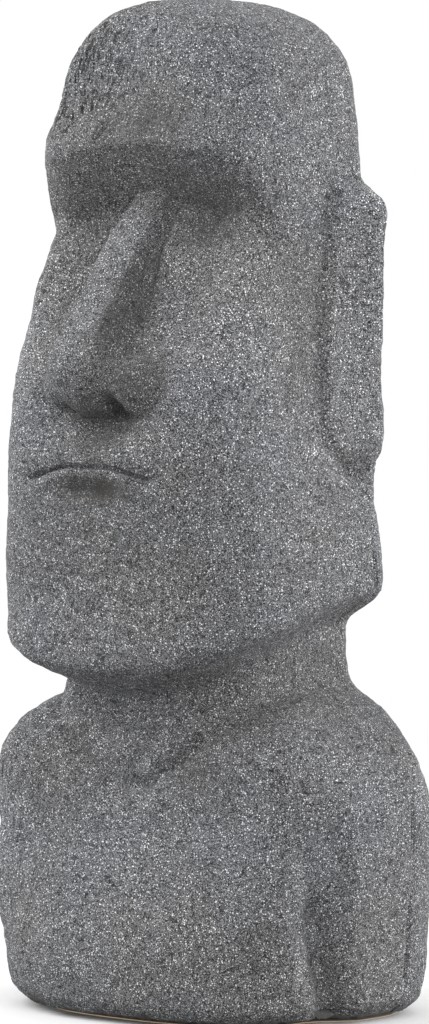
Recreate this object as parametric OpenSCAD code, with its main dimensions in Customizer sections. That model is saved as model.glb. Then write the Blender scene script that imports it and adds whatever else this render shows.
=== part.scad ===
// Carved-stone style garden figure: a long-faced head on a bust, made as two hollow half shells
// that meet on an upright seam plane through the ears and stand on a screwed-in base board.
// Millimetres. +Z is up, the face looks along -Y, and the origin is on the ground under the middle.

/* [Figure] */
// Height from the ground to the crown
figure_h = 710; // [690:1:730]
// Width across the arms
shoulder_w = 317; // [310:1:324]
// Width across the jaw corners
jaw_w = 252; // [246:1:258]
// Width of the neck at its narrowest
neck_w = 180; // [174:1:188]
// Width of the head at the brow
brow_w = 204; // [198:1:210]
// Depth of the chest in front of the seam plane
chest_d = 150; // [146:1:154]
// Depth of the neck in front of the seam plane
neck_d = 110; // [106:1:114]
// Depth of the back behind the seam plane
back_d = 76; // [72:1:80]
// Depth of the head behind the seam plane
head_back_d = 38; // [34:1:42]

/* [Face] */
// Depth of the lower face in front of the seam plane
face_d = 162; // [158:1:166]
// Depth of the brow in front of the seam plane
brow_d = 128; // [124:1:132]
// How far the eye hollows go in under the brow
eye_hollow = 42; // [36:1:44]
// Depth of the nose tip in front of the seam plane
nose_tip_d = 180; // [176:1:184]
// Width of the nose across its wings
nose_w = 98; // [90:1:104]
// Width of the nose bridge at its root
bridge_w = 30; // [26:1:34]
// Width of the mouth
mouth_w = 104; // [94:1:112]
// How far the lips stand off the face
lip_out = 4; // [3:1:8]

/* [Ears and arms] */
// How far each ear stands off the head
ear_out = 28; // [22:1:30]
// Depth of each ear in front of the seam plane
ear_front_d = 43; // [38:1:48]
// Depth of each ear behind the seam plane
ear_back_d = 22; // [18:1:28]
// Depth of the groove between each arm and the chest
arm_groove = 15; // [10:1:16]

/* [Base] */
// Thickness of the base board
board_t = 12; // [9:1:14]
// Height of the battens above the board
batten_h = 28; // [20:1:34]
// Bore of the filler collar
filler_bore = 42; // [36:1:46]
// Thickness of the bonding strips
strip_t = 2.5; // [2:0.5:4]

/* [Hidden] */

// Heights of the features in the middle of the front
foot_z = 3;
collar_z = 0.217 * figure_h;
chin_z = 0.344 * figure_h;
mouth_z = 0.542 * figure_h;
nose_z = 0.612 * figure_h;
brow_z = 0.862 * figure_h;
dome_z = 0.90 * figure_h;
// Heights of the neck and of the jaw corner at the side
neck_z = 0.345 * figure_h;
jaw_z = 0.417 * figure_h;
// Height of the slope under the jaw and under the brow
jaw_under = 23;
brow_under = 40;

// Puts the middle of the figure's depth on the origin
seam_y = (nose_tip_d - back_d) / 2;

// Smooth curve without overshoot through stations of [position, value]
function rise(s, i) = (s[i + 1][1] - s[i][1]) / (s[i + 1][0] - s[i][0]);
function tangent(s, i) =
    i == 0 ? rise(s, 0)
    : i == len(s) - 1 ? rise(s, i - 1)
    : rise(s, i - 1) * rise(s, i) <= 0 ? 0
    : 2 * rise(s, i - 1) * rise(s, i) / (rise(s, i - 1) + rise(s, i));
function span(s, z, i = 0) = i >= len(s) - 2 || z < s[i + 1][0] ? i : span(s, z, i + 1);
function through(s, z) =
    let (i = span(s, z), h = s[i + 1][0] - s[i][0])
    let (t = min(1, max(0, (z - s[i][0]) / h)), t2 = t * t, t3 = t2 * t)
    (2 * t3 - 3 * t2 + 1) * s[i][1] + (t3 - 2 * t2 + t) * h * tangent(s, i)
    + (3 * t2 - 2 * t3) * s[i + 1][1] + (t3 - t2) * h * tangent(s, i + 1);

// 0 before a, 1 after b and an S-shaped slope between them; a may lie above b
function ease(a, b, v) = let (t = min(1, max(0, (v - a) / (b - a)))) t * t * (3 - 2 * t);
function mix(a, b, t) = a + (b - a) * t;

// The larger of two values, with the crease between them rounded over k
function soft_max(a, b, k) =
    let (t = min(1, max(0, 0.5 + 0.5 * (a - b) / k))) b + (a - b) * t + k * t * (1 - t);

// Feature lines round the figure. The angle is 0 at the seam and 90 at the middle of the front
function collar_line(angle) = collar_z + 70 * ease(90, 22, angle);
function jaw_line(angle) = chin_z + (jaw_z - chin_z) * pow(cos(angle), 2.8);
function mouth_line(angle) = mouth_z - 9 * ease(84, 60, angle);
function brow_line(angle) = brow_z - 13 * ease(82, 50, angle) - 37 * ease(46, 26, angle);

// The bust: half width, depth in front, depth behind and squareness of its cross-section
bust_width = [
    [foot_z, 0.468 * shoulder_w], [0.06 * figure_h, 0.483 * shoulder_w],
    [0.15 * figure_h, 0.497 * shoulder_w], [0.20 * figure_h, shoulder_w / 2],
    [0.235 * figure_h, 0.479 * shoulder_w], [0.27 * figure_h, 0.442 * shoulder_w],
    [0.305 * figure_h, 0.362 * shoulder_w], [0.33 * figure_h, neck_w / 2 + 5],
    [0.35 * figure_h, neck_w / 2]];
bust_front = [
    [foot_z, chest_d - 2], [0.06 * figure_h, chest_d], [0.12 * figure_h, chest_d - 10],
    [0.20 * figure_h, chest_d - 28], [0.25 * figure_h, chest_d - 31], [0.35 * figure_h, neck_d + 10]];
bust_back = [
    [foot_z, back_d - 4], [0.15 * figure_h, back_d], [0.22 * figure_h, back_d - 4],
    [0.28 * figure_h, back_d - 16], [0.35 * figure_h, head_back_d + 3]];
bust_square = [
    [foot_z, 2.6], [0.06 * figure_h, 2.7], [0.12 * figure_h, 3.1], [0.20 * figure_h, 4],
    [0.25 * figure_h, 5], [0.35 * figure_h, 5]];

// The head
head_width = [
    [neck_z, jaw_w / 2 - 2], [jaw_z, jaw_w / 2], [0.52 * figure_h, 0.463 * jaw_w],
    [0.70 * figure_h, brow_w / 2 + 7], [brow_z, brow_w / 2], [dome_z, brow_w / 2 - 4],
    [figure_h, brow_w / 2 - 7]];
head_front = [
    [chin_z, face_d - 8], [0.40 * figure_h, face_d - 10], [mouth_z, face_d],
    [0.57 * figure_h, face_d], [0.62 * figure_h, face_d - 2], [0.70 * figure_h, brow_d + 11],
    [brow_z - 30, brow_d], [brow_z - 4, brow_d - 3], [dome_z, brow_d - 17], [figure_h, brow_d - 28]];
head_square = [
    [neck_z, 3.8], [0.62 * figure_h, 3.8], [0.72 * figure_h, 4.4], [brow_z, 4.4], [figure_h, 3.6]];

// Inward depth of the eye hollow: the brow rolls under to a sharp corner, and a long slope runs from
// there down the cheek. There is none at the temple and all of it at the nose
function hollow_at(angle, z) =
    let (top = brow_line(angle), deep = top - brow_under, low = 0.56 * figure_h)
    let (share = mix(ease(34, 66, angle), ease(15, 46, angle), ease(deep - 60, top, z)))
    let (t = min(1, max(0, (top - z) / brow_under)), under = 1 - pow(1 - t * t, 0.85))
    eye_hollow * share * (z > deep ? under : pow(max(0, (z - low) / (deep - low)), 1.15));

// Depth of the nose at its ridge, half width of the ridge, and slope of the nose's sides
ridge_line = [
    [nose_z - 16, nose_tip_d - 32], [nose_z - 10, nose_tip_d - 12], [nose_z + 5, nose_tip_d],
    [0.66 * figure_h, nose_tip_d - 7],
    [0.70 * figure_h, nose_tip_d - 26], [0.76 * figure_h, nose_tip_d - 56],
    [0.81 * figure_h, nose_tip_d - 80], [0.84 * figure_h, nose_tip_d - 98]];
ridge_half = [
    [nose_z, 0.20 * nose_w], [0.66 * figure_h, 0.165 * nose_w],
    [0.70 * figure_h, 0.46 * bridge_w], [0.84 * figure_h, 0.36 * bridge_w]];
nose_slope = [
    [nose_z, 1.2], [0.66 * figure_h, 1.7], [0.70 * figure_h, 2.4], [0.84 * figure_h, 2.6]];

// The nose as a depth in front of the seam plane, far behind the face where there is no nose
function bridge_depth(x, z) =
    z > 0.84 * figure_h || z < nose_z - 16 ? -100
    : through(ridge_line, z) - through(nose_slope, z) * max(0, x - through(ridge_half, z))
        - 0.03 * pow(max(0, x - 0.4 * nose_w), 2)
        - 4 * pow(min(1.3, x / through(ridge_half, z)), 2);
function wing_depth(x, z) =
    let (q = 1 - pow((x - 0.34 * nose_w) / (0.17 * nose_w), 2) - pow((z - nose_z - 11) / 22, 2))
    face_d - 16 + (q > 0 ? 22 * sqrt(q) : 20 * q);

// Inward depth of the hollow between the nose and the upper lip
function under_nose(x, z) =
    13 * ease(62, 16, x) * ease(0.535 * figure_h, 0.585 * figure_h, z)
    * ease(0.66 * figure_h, 0.61 * figure_h, z);

// The lips: two rolls that meet in a line, and fade out at the corners
function lip_depth(x, z, line) =
    let (share = max(0, 1 - pow(x / (0.62 * mouth_w), 2)))
    lip_out * share * ease(line - 30, line - 9, z) * ease(line + 34, line + 6, z)
    - 4 * min(1, 3 * share) * max(0, 1 - abs(z - line) / 7);

// The ear: a long slab that straddles the seam plane; d is the depth in front of that plane
ear_low = 0.518 * figure_h;
ear_top = 0.822 * figure_h;
function ear_at(d, z) =
    (ear_out - 12 * ease(ear_top, ear_low, z)) * mix(0.62, 1, ease(ear_front_d - 8, -6, d))
    * ease(ear_front_d, ear_front_d - 12, d) * ease(-ear_back_d, 2, d)
    * ease(ear_low, ear_low + 18, z) * pow(ease(ear_top, ear_top - 24, z), 0.5);

// The groove between the arm and the chest, deepest at the foot and fading out at the shoulder
function groove_at(angle, z) =
    let (middle = 24 + 18 * z / (0.24 * figure_h), half = 7 + 7 * z / (0.24 * figure_h))
    arm_groove * pow(max(0, 1 - pow((angle - middle) / half, 2)), 2)
    * ease(0.26 * figure_h, 0.08 * figure_h, z);

// Roll of the foot's lower edge
foot_r = 13;
function foot_roll(z) =
    let (t = max(0, foot_z + foot_r - z) / foot_r) 7 * (1 - sqrt(1 - t * t));

// How the head closes over the crown: 1 below the dome and 0 at the top
function dome(z, p) = pow(1 - pow(max(0, (z - dome_z) / (figure_h - dome_z)), p), 1 / p);

// Cross-section point as [half width, depth] from its size, its squareness and an angle
function plan(w, d, n, angle) =
    let (c = cos(angle), s = sin(angle), r = pow(pow(c, n) + pow(s, n), 1 / n)) [w * c / r, d * s / r];

function bust_plan(z, angle, front) =
    let (w = through(bust_width, z), d = through(front ? bust_front : bust_back, z))
    let (inset = foot_roll(z) + (front ? groove_at(angle, z) : 0))
    plan(w, d, front ? through(bust_square, z) : 2.5, angle) - inset * [cos(angle), sin(angle)];

function neck_plan(z, angle, front) =
    let (flare = 12 * ease(0.35 * figure_h, 0.28 * figure_h, z))
    let (d = (front ? neck_d : head_back_d + 3) + flare / 2)
    plan(neck_w / 2 + flare, d, front ? 4 : 2.5, angle);

function head_plan(z, angle, front) =
    let (w = through(head_width, z) * dome(z, 2.4))
    let (face = (through(head_front, z) - hollow_at(angle, z)) * dome(z, 3.4))
    let (nape = head_back_d * dome(z, 2.1))
    plan(w, front ? face : nape, front ? through(head_square, z) : 2.5, angle);

// A point of the outer surface: phi is 0 at the figure's left seam, 90 at the front, 180 at its
// right seam and 270 at the back
function outer(phi, z) =
    let (angle = asin(min(1, abs(sin(phi)))), front = phi <= 180)
    let (side = front ? angle : 0, jaw = jaw_line(side), collar = collar_line(side))
    let (bust = ease(collar + 9, collar - 9, z), head = ease(jaw - jaw_under, jaw, z))
    let (body = mix(neck_plan(z, angle, front), bust_plan(z, angle, front), bust))
    let (flat = mix(body, head_plan(z, angle, front), head))
    let (x = flat[0], nose = soft_max(bridge_depth(x, z), wing_depth(x, z), 8))
    let (lips = front && x < 0.62 * mouth_w ? lip_depth(x, z, mouth_line(angle)) : 0)
    let (d = front ? soft_max(flat[1] - under_nose(x, z), nose, 5) + lips : flat[1])
    let (out = x + ear_at(front ? d : -d, z))
    [sign(cos(phi)) * out, seam_y + (front ? -d : d), z];

// Heights of the outer rows. Each feature line is a row, each stop gives the number of steps up to
// the next one, and there are an even number of rows, because the inner surface has half as many
function outer_levels(angle) =
    let (jaw = jaw_line(angle), mouth = mouth_line(angle))
    let (brow = mix(brow_line(angle), ear_top, ease(26, 6, angle)))
    let (stops = [
        [foot_z, 3], [foot_z + foot_r, 12], [collar_line(angle) - 9, 3], [collar_line(angle) + 9, 6],
        [jaw - jaw_under, 3], [jaw, 10], [mouth - 7, 2], [mouth + 7, 3], [nose_z - 16, 5],
        [nose_z + 14, 11], [brow - brow_under, 5], [brow, 4], [dome_z, 0]])
    concat(
        [for (i = [0:len(stops) - 2]) for (j = [0:stops[i][1] - 1])
            mix(stops[i][0], stops[i + 1][0], j / stops[i][1])],
        [for (i = [0:8]) mix(dome_z, figure_h, pow(sin(10 * i), 0.84))]);

// Inner surface of the shells: a plain smooth core, straight-sided where the base board goes in
core_width = [
    [foot_z, 132], [0.17 * figure_h, 132], [0.25 * figure_h, 121], [0.30 * figure_h, 90],
    [neck_z, 75], [0.40 * figure_h, 84], [0.45 * figure_h, 106], [0.70 * figure_h, 97],
    [brow_z, 89], [figure_h, 83]];
core_front = [
    [foot_z, 124], [0.09 * figure_h, 124], [0.20 * figure_h, 104], [0.30 * figure_h, 93],
    [neck_z, 90], [0.42 * figure_h, 132], [0.55 * figure_h, 138], [0.62 * figure_h, 130],
    [0.70 * figure_h, 100], [0.785 * figure_h, 70], [brow_z, 72], [dome_z, 84], [figure_h, 82]];
core_back = [
    [foot_z, 56], [0.20 * figure_h, 56], [0.30 * figure_h, 38], [neck_z, 27], [figure_h, 24]];
core_square = 2.6;
core_top = figure_h - 14;
core_dome_z = dome_z - 6;
function core_dome(z) =
    pow(1 - pow(max(0, (z - core_dome_z) / (core_top - core_dome_z)), 2.5), 0.4);

// The core's own hollow behind each arm groove
function core_notch(angle, z) =
    arm_groove * pow(max(0, 1 - pow((angle - 28) / 16, 2)), 1.5)
    * ease(0.26 * figure_h, 0.10 * figure_h, z);

// A point of the inner surface, or of one that lies the gap inside it
function inner(phi, z, gap = 0) =
    let (angle = asin(min(1, abs(sin(phi)))), front = phi <= 180)
    let (d = through(front ? core_front : core_back, z))
    let (flat = plan(through(core_width, z), d, core_square, angle))
    let (inset = gap + (front ? core_notch(angle, z) : 0))
    let (p = core_dome(z) * flat - inset * [cos(angle), sin(angle)])
    [sign(cos(phi)) * p[0], seam_y + (front ? -p[1] : p[1]), z];

// Heights of the inner rows, level with every other outer row at the seam
function core_level(z) =
    z < dome_z ? mix(foot_z, core_dome_z, (z - foot_z) / (dome_z - foot_z))
    : mix(core_dome_z, core_top, (z - dome_z) / (figure_h - dome_z));
seam_levels = outer_levels(0);
inner_levels = [for (i = [0:2:len(seam_levels) - 1]) core_level(seam_levels[i])];

// Triangles of a grid of rows by columns, whose points start at index first
function grid_faces(first, rows, cols) =
    [for (i = [0:rows - 2]) for (j = [0:cols - 2]) let (p = first + i * cols + j)
        each 2 * j < cols - 1
            ? [[p, p + 1, p + cols + 1], [p, p + cols + 1, p + cols]]
            : [[p, p + 1, p + cols], [p + 1, p + cols + 1, p + cols]]];
function fan_faces(row, cols, apex) = [for (j = [0:cols - 2]) [row + j, row + j + 1, apex]];
function flipped(faces) = [for (f = faces) [f[2], f[1], f[0]]];

// Triangles between a line of points and another that has twice as many steps
function stitch(coarse, fine) =
    [for (i = [0:len(coarse) - 2])
        each [[coarse[i], fine[2 * i], fine[2 * i + 1]],
            [coarse[i], fine[2 * i + 1], coarse[i + 1]],
            [coarse[i + 1], fine[2 * i + 1], fine[2 * i + 2]]]];

// Closed skin of a slab between two grids of points, the outer one first
function slab_faces(rows, cols) =
    let (n = rows * cols)
    concat(
        grid_faces(0, rows, cols), flipped(grid_faces(n, rows, cols)),
        [for (j = [0:cols - 2]) let (a = j, b = n + j)
            each [[a + 1, a, b], [a + 1, b, b + 1]]],
        [for (j = [0:cols - 2]) let (a = n - cols + j, b = 2 * n - cols + j)
            each [[a, a + 1, b], [a + 1, b + 1, b]]],
        [for (i = [0:rows - 2]) let (a = i * cols, b = n + i * cols)
            each [[b, a, a + cols], [b, a + cols, b + cols]]],
        [for (i = [0:rows - 2]) let (a = i * cols + cols - 1, b = n + i * cols + cols - 1)
            each [[a + cols, a, b], [b + cols, a + cols, b]]]);

// Columns of the two shells, which the parts bonded inside share
front_cols = 60;
back_cols = 28;
front_step = 360 / front_cols;
back_step = 360 / back_cols;

// One hollow half of the figure, between two angles, as a closed skin
module half_shell(from, to, cols) {
    half = cols / 2;
    turns = [for (j = [0:cols]) mix(from, to, j / cols)];
    levels = [for (phi = turns) outer_levels(phi <= 180 ? asin(min(1, abs(sin(phi)))) : 0)];
    ro = len(levels[0]);
    ri = len(inner_levels);
    outside = [for (i = [0:ro - 1]) for (j = [0:cols]) outer(turns[j], levels[j][i])];
    inside = [for (z = inner_levels) for (j = [0:half]) inner(turns[2 * j], z)];
    co = cols + 1;
    ci = half + 1;
    apex = ro * co;
    first = apex + 1;
    core_apex = first + ri * ci;
    near_out = [for (i = [0:ro - 1]) i * co, apex];
    far_out = [for (i = [0:ro - 1]) i * co + cols, apex];
    near_in = [for (i = [0:ri - 1]) first + i * ci, core_apex];
    far_in = [for (i = [0:ri - 1]) first + i * ci + half, core_apex];
    foot_out = [for (j = [0:cols]) j];
    foot_in = [for (j = [0:half]) first + j];
    polyhedron(
        points = concat(outside, [[0, seam_y, figure_h]], inside, [[0, seam_y, core_top]]),
        faces = concat(
            grid_faces(0, ro, co), fan_faces((ro - 1) * co, co, apex),
            flipped(grid_faces(first, ri, ci)),
            flipped(fan_faces(first + (ri - 1) * ci, ci, core_apex)),
            stitch(near_in, near_out), flipped(stitch(far_in, far_out)),
            flipped(stitch(foot_in, foot_out))));
}

module front_shell() {
    color("dimgray") half_shell(0, 180, front_cols);
}

module back_shell() {
    color("dimgray") half_shell(180, 360, back_cols);
}

// Strips of resin-soaked mat that bond the halves inside, a resin bed away from the wall
bed = 0.6;
strip_low = board_t + batten_h + 8;
strip_top = core_dome_z - 24;
strip_levels = [
    strip_low,
    for (z = inner_levels) if (z > strip_low + 8 && z < strip_top - 8) z,
    strip_top];

// Columns of the shells that a piece across the left or the right seam covers
left_turns = [360 - 2 * back_step, 360 - back_step, 0, front_step, 2 * front_step];
right_turns = [180 - 2 * front_step, 180 - front_step, 180, 180 + back_step, 180 + 2 * back_step];

module seam_strip(turns) {
    points = [for (gap = [bed, bed + strip_t]) for (z = strip_levels) for (phi = turns)
        inner(phi, z, gap)];
    polyhedron(points = points, faces = slab_faces(len(strip_levels), len(turns)));
}

module left_seam_strip() {
    color("tan") seam_strip(left_turns);
}

module right_seam_strip() {
    color("tan") seam_strip(right_turns);
}

// The strip over the crown, from the top of one side strip to the top of the other
crown_levels = [strip_top + 4, for (z = inner_levels) if (z > strip_top + 12) z];
crown_laps = [-11, -5, 0, 9, 18];
function crown_point(side, lap, z, gap) =
    let (q = core_dome(z) * (1 - gap / 64))
    let (w = q * through(core_width, z), d = q * through(lap < 0 ? core_back : core_front, z))
    let (reach = sign(lap) * min(abs(lap), 0.8 * d))
    let (x = w * pow(1 - pow(abs(reach) / d, core_square), 1 / core_square))
    [side * x, seam_y - reach, z > core_dome_z ? mix(core_dome_z, z, 1 - gap / 64) : z];

module crown_seam_strip() {
    last = len(crown_levels) - 1;
    path = concat(
        [for (i = [0:last]) [1, crown_levels[i]]],
        [for (i = [last:-1:0]) [-1, crown_levels[i]]]);
    points = [for (gap = [2 * bed, 2 * bed + strip_t]) for (at = path) for (lap = crown_laps)
        crown_point(at[0], lap, at[1], gap)];
    color("tan") polyhedron(points = points, faces = slab_faces(len(path), len(crown_laps)));
}

// Outline of the core at the foot, the gap inside the wall, between two of the shells' columns
function foot_outline(turns, gap) = [for (phi = turns) let (p = inner(phi, foot_z, gap)) [p[0], p[1]]];

// Screws stand in pairs: two up into each batten
screw_d = 4;
screw_l = 34;
screw_head_d = 8;
front_batten_d = 98;
rear_batten_d = -32;
side_batten_x = 104;
screw_places = [
    [38, seam_y - 109], [-38, seam_y - 109], [38, seam_y + 43], [-38, seam_y + 43],
    [117, seam_y + 10], [117, seam_y - 14], [-117, seam_y + 10], [-117, seam_y - 14]];

// A batten from its outline, with pilot holes where the screws come up
module batten(outline) {
    color("burlywood")
    difference() {
        translate([0, 0, board_t]) linear_extrude(batten_h) polygon(outline);
        for (at = screw_places)
            translate([at[0], at[1], board_t - 1])
                cylinder(d = screw_d + 0.1, h = screw_l - board_t + 2.5, $fn = 32);
    }
}

module front_batten() {
    batten(concat(
        foot_outline([for (phi = [66:front_step:114]) phi], bed),
        [[-56, seam_y - front_batten_d], [56, seam_y - front_batten_d]]));
}

module rear_batten() {
    batten(concat(
        foot_outline([for (i = [5:9]) 180 + i * back_step], bed),
        [[58, seam_y - rear_batten_d], [-58, seam_y - rear_batten_d]]));
}

module left_batten() {
    batten(concat(
        foot_outline(left_turns, bed),
        [[side_batten_x, seam_y - 24], [side_batten_x, seam_y + 23]]));
}

module right_batten() {
    batten(concat(
        foot_outline(right_turns, bed),
        [[-side_batten_x, seam_y + 23], [-side_batten_x, seam_y - 24]]));
}

// The base board closes the foot and is what the figure stands on
board_gap = 1.2;
board_turns = concat(
    [for (phi = [0:front_step:180]) phi],
    [for (i = [1:back_cols / 2 - 1]) 180 + i * back_step]);
filler_y = seam_y - 34;
collar_d = filler_bore + 12;

module base_board() {
    color("burlywood")
    difference() {
        linear_extrude(board_t) polygon(foot_outline(board_turns, board_gap));
        translate([0, filler_y, -1]) cylinder(d = collar_d + 0.2, h = board_t + 2, $fn = 64);
        for (at = screw_places) translate([at[0], at[1], 0]) {
            translate([0, 0, -1]) cylinder(d = screw_d + 0.6, h = board_t + 2, $fn = 32);
            translate([0, 0, -0.01])
                cylinder(d1 = screw_head_d + 1, d2 = screw_d + 0.6, h = 4.2, $fn = 32);
        }
    }
}

// Countersunk screws, their heads just below the board's underside
module base_screws() {
    color("silver")
    for (at = screw_places) translate([at[0], at[1], 0.4])
        difference() {
            union() {
                cylinder(d1 = screw_head_d, d2 = screw_d, h = 3.6, $fn = 32);
                translate([0, 0, 3.6]) cylinder(d = screw_d, h = screw_l - 9, $fn = 32);
                translate([0, 0, screw_l - 5.4]) cylinder(d1 = screw_d, d2 = 0.8, h = 5, $fn = 32);
            }
            translate([-2.4, -0.5, -1]) cube([4.8, 1, 2.8]);
            translate([-0.5, -2.4, -1]) cube([1, 4.8, 2.8]);
        }
}

// The filler collar is pushed down into the board from inside, and its flange stops it
collar_h = board_t + 8;
rim_h = 4.5;

module filler_collar() {
    color("black")
    translate([0, filler_y, 0])
    difference() {
        union() {
            translate([0, 0, 0.4]) cylinder(d = collar_d, h = collar_h - 0.4, $fn = 64);
            translate([0, 0, board_t]) cylinder(d = collar_d + 16, h = 4, $fn = 64);
        }
        translate([0, 0, -1]) cylinder(d = filler_bore, h = collar_h + 2, $fn = 64);
        translate([0, 0, -1]) cylinder(d = filler_bore + 6.4, h = rim_h + 1, $fn = 64);
    }
}

// The plug closes the filler from below; its rim sits in the collar's recess and it has a finger bar
module filler_plug() {
    plug_d = filler_bore - 0.14;
    rim_z = 0.6;
    recess_d = filler_bore - 14;
    color("dimgray")
    translate([0, filler_y, 0]) {
        difference() {
            union() {
                translate([0, 0, rim_z])
                    cylinder(d = filler_bore + 5.6, h = rim_h - 0.3 - rim_z, $fn = 64);
                translate([0, 0, rim_h - 0.5]) cylinder(d = plug_d, h = collar_h - rim_h, $fn = 64);
            }
            translate([0, 0, 0]) cylinder(d = recess_d, h = 8, $fn = 64);
            translate([0, 0, 11]) cylinder(d = plug_d - 6, h = collar_h, $fn = 64);
        }
        intersection() {
            translate([-recess_d / 2 - 1, -3.5, rim_z]) cube([recess_d + 2, 7, 7.6]);
            translate([0, 0, rim_z]) cylinder(d = recess_d + 1, h = 9, $fn = 64);
        }
    }
}

front_shell();
back_shell();
left_seam_strip();
right_seam_strip();
crown_seam_strip();
front_batten();
rear_batten();
left_batten();
right_batten();
base_board();
base_screws();
filler_collar();
filler_plug();
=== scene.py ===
import math
import random

import bmesh
import bpy
import numpy as np
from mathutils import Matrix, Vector, kdtree, noise


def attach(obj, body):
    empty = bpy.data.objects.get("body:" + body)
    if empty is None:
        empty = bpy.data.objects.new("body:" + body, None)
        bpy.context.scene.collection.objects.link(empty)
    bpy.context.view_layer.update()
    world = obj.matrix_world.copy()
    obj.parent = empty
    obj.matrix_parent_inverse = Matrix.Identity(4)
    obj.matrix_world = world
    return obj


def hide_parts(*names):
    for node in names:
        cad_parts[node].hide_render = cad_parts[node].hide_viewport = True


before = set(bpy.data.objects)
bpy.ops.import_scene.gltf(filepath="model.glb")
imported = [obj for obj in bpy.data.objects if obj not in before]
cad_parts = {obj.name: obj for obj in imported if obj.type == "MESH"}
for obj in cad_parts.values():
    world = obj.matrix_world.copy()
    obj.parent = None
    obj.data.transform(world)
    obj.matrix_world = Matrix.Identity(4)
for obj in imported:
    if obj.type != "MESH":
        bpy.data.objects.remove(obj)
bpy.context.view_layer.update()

# Front shell: the face, the ears' fronts, the chest and the arms, one hollow casting.
# Crushed granite in resin is pressed into the front half of a mould, and while it is green the
# mouth is cut in, the skin is stippled with a brush and the brow is scored with a chisel.
MM = 0.001
SEAM_Y = 52.0
SEAM_FADE = 9.0
EDGE_KEEP, SAME_POINT = 1e-5, 1e-6


def ease(a, b, v):
    """0 before a, 1 after b, and an S-shaped slope between them; a may lie above b."""
    t = np.clip((v - a) / (b - a), 0, 1)
    return t * t * (3 - 2 * t)


def solid(node):
    """A copy of a node's solid, to be worked on."""
    made = bmesh.new()
    made.from_mesh(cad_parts[node].data)
    bmesh.ops.remove_doubles(made, verts=made.verts, dist=SAME_POINT)
    return made


def placed(made, name):
    """A piece at the origin with the mesh that was made."""
    mesh = bpy.data.meshes.new(name)
    made.to_mesh(mesh)
    made.free()
    piece = bpy.data.objects.new(name, mesh)
    bpy.context.scene.collection.objects.link(piece)
    return piece


def casting(node):
    """A copy of a shell's solid with its triangles joined to quads. The skin has material 0,
    and the raw inside, the seam's faces and the foot's rim have material 1."""
    made = solid(node)
    foot = min(v.co.z for v in made.verts)

    def on_seam(face):
        return all(abs(v.co.y - SEAM_Y * MM) < EDGE_KEEP for v in face.verts)

    def on_foot(face):
        return all(abs(v.co.z - foot) < EDGE_KEEP for v in face.verts)

    rim = {f for f in made.faces if on_seam(f) or on_foot(f)}
    bmesh.ops.join_triangles(
        made, faces=[f for f in made.faces if f not in rim],
        angle_face_threshold=math.pi, angle_shape_threshold=math.pi, topology_influence=2)
    rim = {f for f in made.faces if on_seam(f) or on_foot(f)}
    far = max(made.verts, key=lambda v: abs(v.co.y - SEAM_Y * MM))
    skin = {far.link_faces[0]}
    edge = list(skin)
    while edge:
        face = edge.pop()
        near = {f for e in face.edges for f in e.link_faces} - skin - rim
        skin |= near
        edge.extend(near)
    crease = made.edges.layers.float.new("crease_edge")
    for f in made.faces:
        f.material_index = 0 if f in skin else 1
    for e in made.edges:
        kinds = {f.material_index for f in e.link_faces}
        if len(kinds) == 2 or all(f in rim for f in e.link_faces):
            e[crease] = 1
    return made


def rounded(made, name):
    """The casting with its facets smoothed once, as a bmesh."""
    piece = placed(made, name)
    smooth = piece.modifiers.new("smooth", "SUBSURF")
    smooth.levels = smooth.render_levels = 1
    bpy.context.view_layer.update()
    finer = bmesh.new()
    finer.from_object(piece, bpy.context.evaluated_depsgraph_get())
    piece.modifiers.clear()
    return piece, finer


def skin_edges(made, where=lambda p: True):
    """Edges of the skin's faces whose middle is at the place asked for, in millimetres."""
    return list({
        e for f in made.faces if f.material_index == 0 and where(f.calc_center_median() / MM)
        for e in f.edges})


def refine(made, edges):
    """Cuts these edges in two and relaxes the skin around the cuts."""
    cut = bmesh.ops.subdivide_edges(made, edges=edges, cuts=1, use_grid_fill=True)
    fresh = [v for v in cut["geom_inner"] if isinstance(v, bmesh.types.BMVert)]
    loose = [v for v in fresh if all(f.material_index == 0 for f in v.link_faces)]
    bmesh.ops.smooth_vert(
        made, verts=loose, factor=0.5, use_axis_x=True, use_axis_y=True, use_axis_z=True)


def skin_verts(made):
    """The skin's vertices, with those on its rims."""
    return [v for v in made.verts if any(f.material_index == 0 for f in v.link_faces)]


def skin_normals(made):
    """The skin's vertices, with the way out at each; beside the seam it lies in the seam's plane,
    so that the two shells stay edge to edge."""
    verts = skin_verts(made)
    out = np.zeros((len(verts), 3))
    for i, v in enumerate(verts):
        total = Vector()
        for f in v.link_faces:
            if f.material_index == 0:
                total += f.normal * f.calc_area()
        out[i] = total
    at = np.array([v.co for v in verts]) / MM
    out /= np.linalg.norm(out, axis=1)[:, None]
    out[:, 1] *= ease(0, SEAM_FADE, abs(at[:, 1] - SEAM_Y))
    out /= np.linalg.norm(out, axis=1)[:, None]
    return verts, at, out


SEAM_CALM, FOOT_STILL, FOOT_FREE = 14 * MM, 4 * MM, 24 * MM


def crisper(made, amount, passes):
    """Pushes the skin away from the mean of its surroundings, which brings its edges and hollows out
    again after the smoothing. The joint and the foot's rim stay where they are."""
    verts = skin_verts(made)
    index = {v: i for i, v in enumerate(verts)}
    pairs = np.array([
        [index[v] for v in e.verts] for e in made.edges if all(v in index for v in e.verts)])
    a, b = pairs.T
    count = np.bincount(pairs.ravel(), minlength=len(verts))[:, None]
    at = np.array([v.co for v in verts])
    soft = at.copy()
    for _ in range(passes):
        total = np.stack([
            np.bincount(a, soft[b, k], len(verts)) + np.bincount(b, soft[a, k], len(verts))
            for k in range(3)], axis=1)
        soft = (soft + total / count) / 2
    keep = ease(0, SEAM_CALM, abs(at[:, 1] - SEAM_Y * MM)) * ease(FOOT_STILL, FOOT_FREE, at[:, 2])
    for v, p in zip(verts, at + amount * keep[:, None] * (at - soft)):
        v.co = p


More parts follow.
